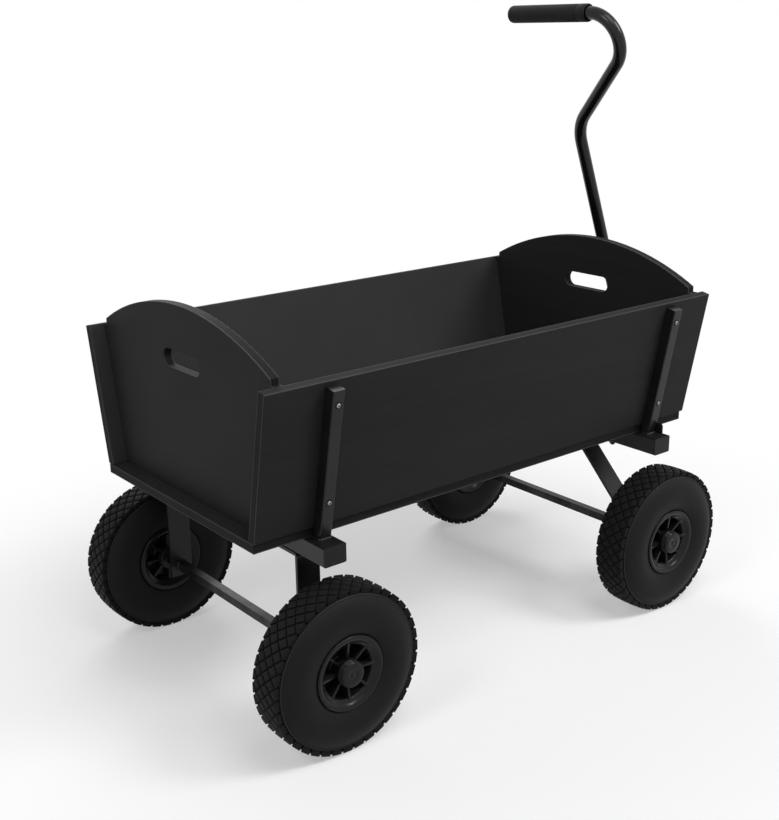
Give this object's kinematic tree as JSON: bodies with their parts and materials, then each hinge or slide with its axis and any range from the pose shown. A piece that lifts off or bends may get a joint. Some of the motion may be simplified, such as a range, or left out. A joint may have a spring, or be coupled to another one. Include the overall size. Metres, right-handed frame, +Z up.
{
  "type": "beach wagon",
  "caption": "Open wooden-sided pull wagon with arched end boards, hand slots, wide ribbed wheels, a pivoting front axle and a bent tubular pull handle.",
  "frame": {"origin": "on the ground, in the middle of the wagon's length from the back of the rear tyres to the front of the handle hinge, and of its width", "axes": "+X towards the handle, the way it is pulled, +Y to the wagon's left, +Z up"},
  "size_m": [1.114, 0.601, 1.0456],
  "materials": {
    "board": "satin painted plywood",
    "frame_steel": "satin powder coat",
    "bright_steel": "zinc plated",
    "black_plastic": "moulded",
    "rim_plastic": "moulded, half gloss",
    "cap_plastic": "moulded, half gloss",
    "tyre_rubber": "matt rubber",
    "handle_steel": "gloss powder coat",
    "grip_foam": "matt foam rubber"
  },
  "bodies": {
    "wagon": {"floor_board": "board", "side_board_left": "board", "side_board_right": "board", "end_board_rear": "board", "end_board_front": "board", "cross_beam_rear": "frame_steel", "cross_beam_front": "frame_steel", "beam_plugs_rear": "black_plastic", "beam_plugs_front": "black_plastic", "stake_rear_left": "frame_steel", "stake_rear_right": "frame_steel", "stake_front_left": "frame_steel", "stake_front_right": "frame_steel", "rear_axle_bracket": "frame_steel", "rear_axle": "bright_steel", "rear_axle_nuts": "bright_steel", "turntable_plate": "frame_steel", "kingpin": "bright_steel"},
    "bogie": {"glide_ring": "black_plastic", "front_axle_bracket": "frame_steel", "front_axle": "bright_steel", "front_axle_nuts": "bright_steel", "drawbar": "frame_steel", "hinge_pin": "bright_steel"},
    "handle": {"handle_rod": "handle_steel", "grip": "grip_foam"},
    "wheel_rear_left": {"tyre_rear_left": "tyre_rubber", "rim_rear_left": "rim_plastic", "hub_cap_rear_left": "cap_plastic"},
    "wheel_rear_right": {"tyre_rear_right": "tyre_rubber", "rim_rear_right": "rim_plastic", "hub_cap_rear_right": "cap_plastic"},
    "wheel_front_left": {"tyre_front_left": "tyre_rubber", "rim_front_left": "rim_plastic", "hub_cap_front_left": "cap_plastic"},
    "wheel_front_right": {"tyre_front_right": "tyre_rubber", "rim_front_right": "rim_plastic", "hub_cap_front_right": "cap_plastic"}
  },
  "joints": [
    {"name": "steering", "type": "hinge", "parent": "wagon", "child": "bogie", "pos_m": [0.287, 0, 0.2805], "axis": [0, 0, 1], "range_deg": [-20, 20]},
    {"name": "handle_swing", "type": "hinge", "parent": "bogie", "child": "handle", "pos_m": [0.541, 0, 0.2615], "axis": [0, 1, 0], "range_deg": [0, 125]},
    {"name": "wheel_rear_left_spin", "type": "hinge", "parent": "wagon", "child": "wheel_rear_left", "pos_m": [-0.427, 0.2605, 0.13], "axis": [0, 1, 0], "continuous": true},
    {"name": "wheel_rear_right_spin", "type": "hinge", "parent": "wagon", "child": "wheel_rear_right", "pos_m": [-0.427, -0.2605, 0.13], "axis": [0, 1, 0], "continuous": true},
    {"name": "wheel_front_left_spin", "type": "hinge", "parent": "bogie", "child": "wheel_front_left", "pos_m": [0.287, 0.2605, 0.13], "axis": [0, 1, 0], "continuous": true},
    {"name": "wheel_front_right_spin", "type": "hinge", "parent": "bogie", "child": "wheel_front_right", "pos_m": [0.287, -0.2605, 0.13], "axis": [0, 1, 0], "continuous": true}
  ]
}
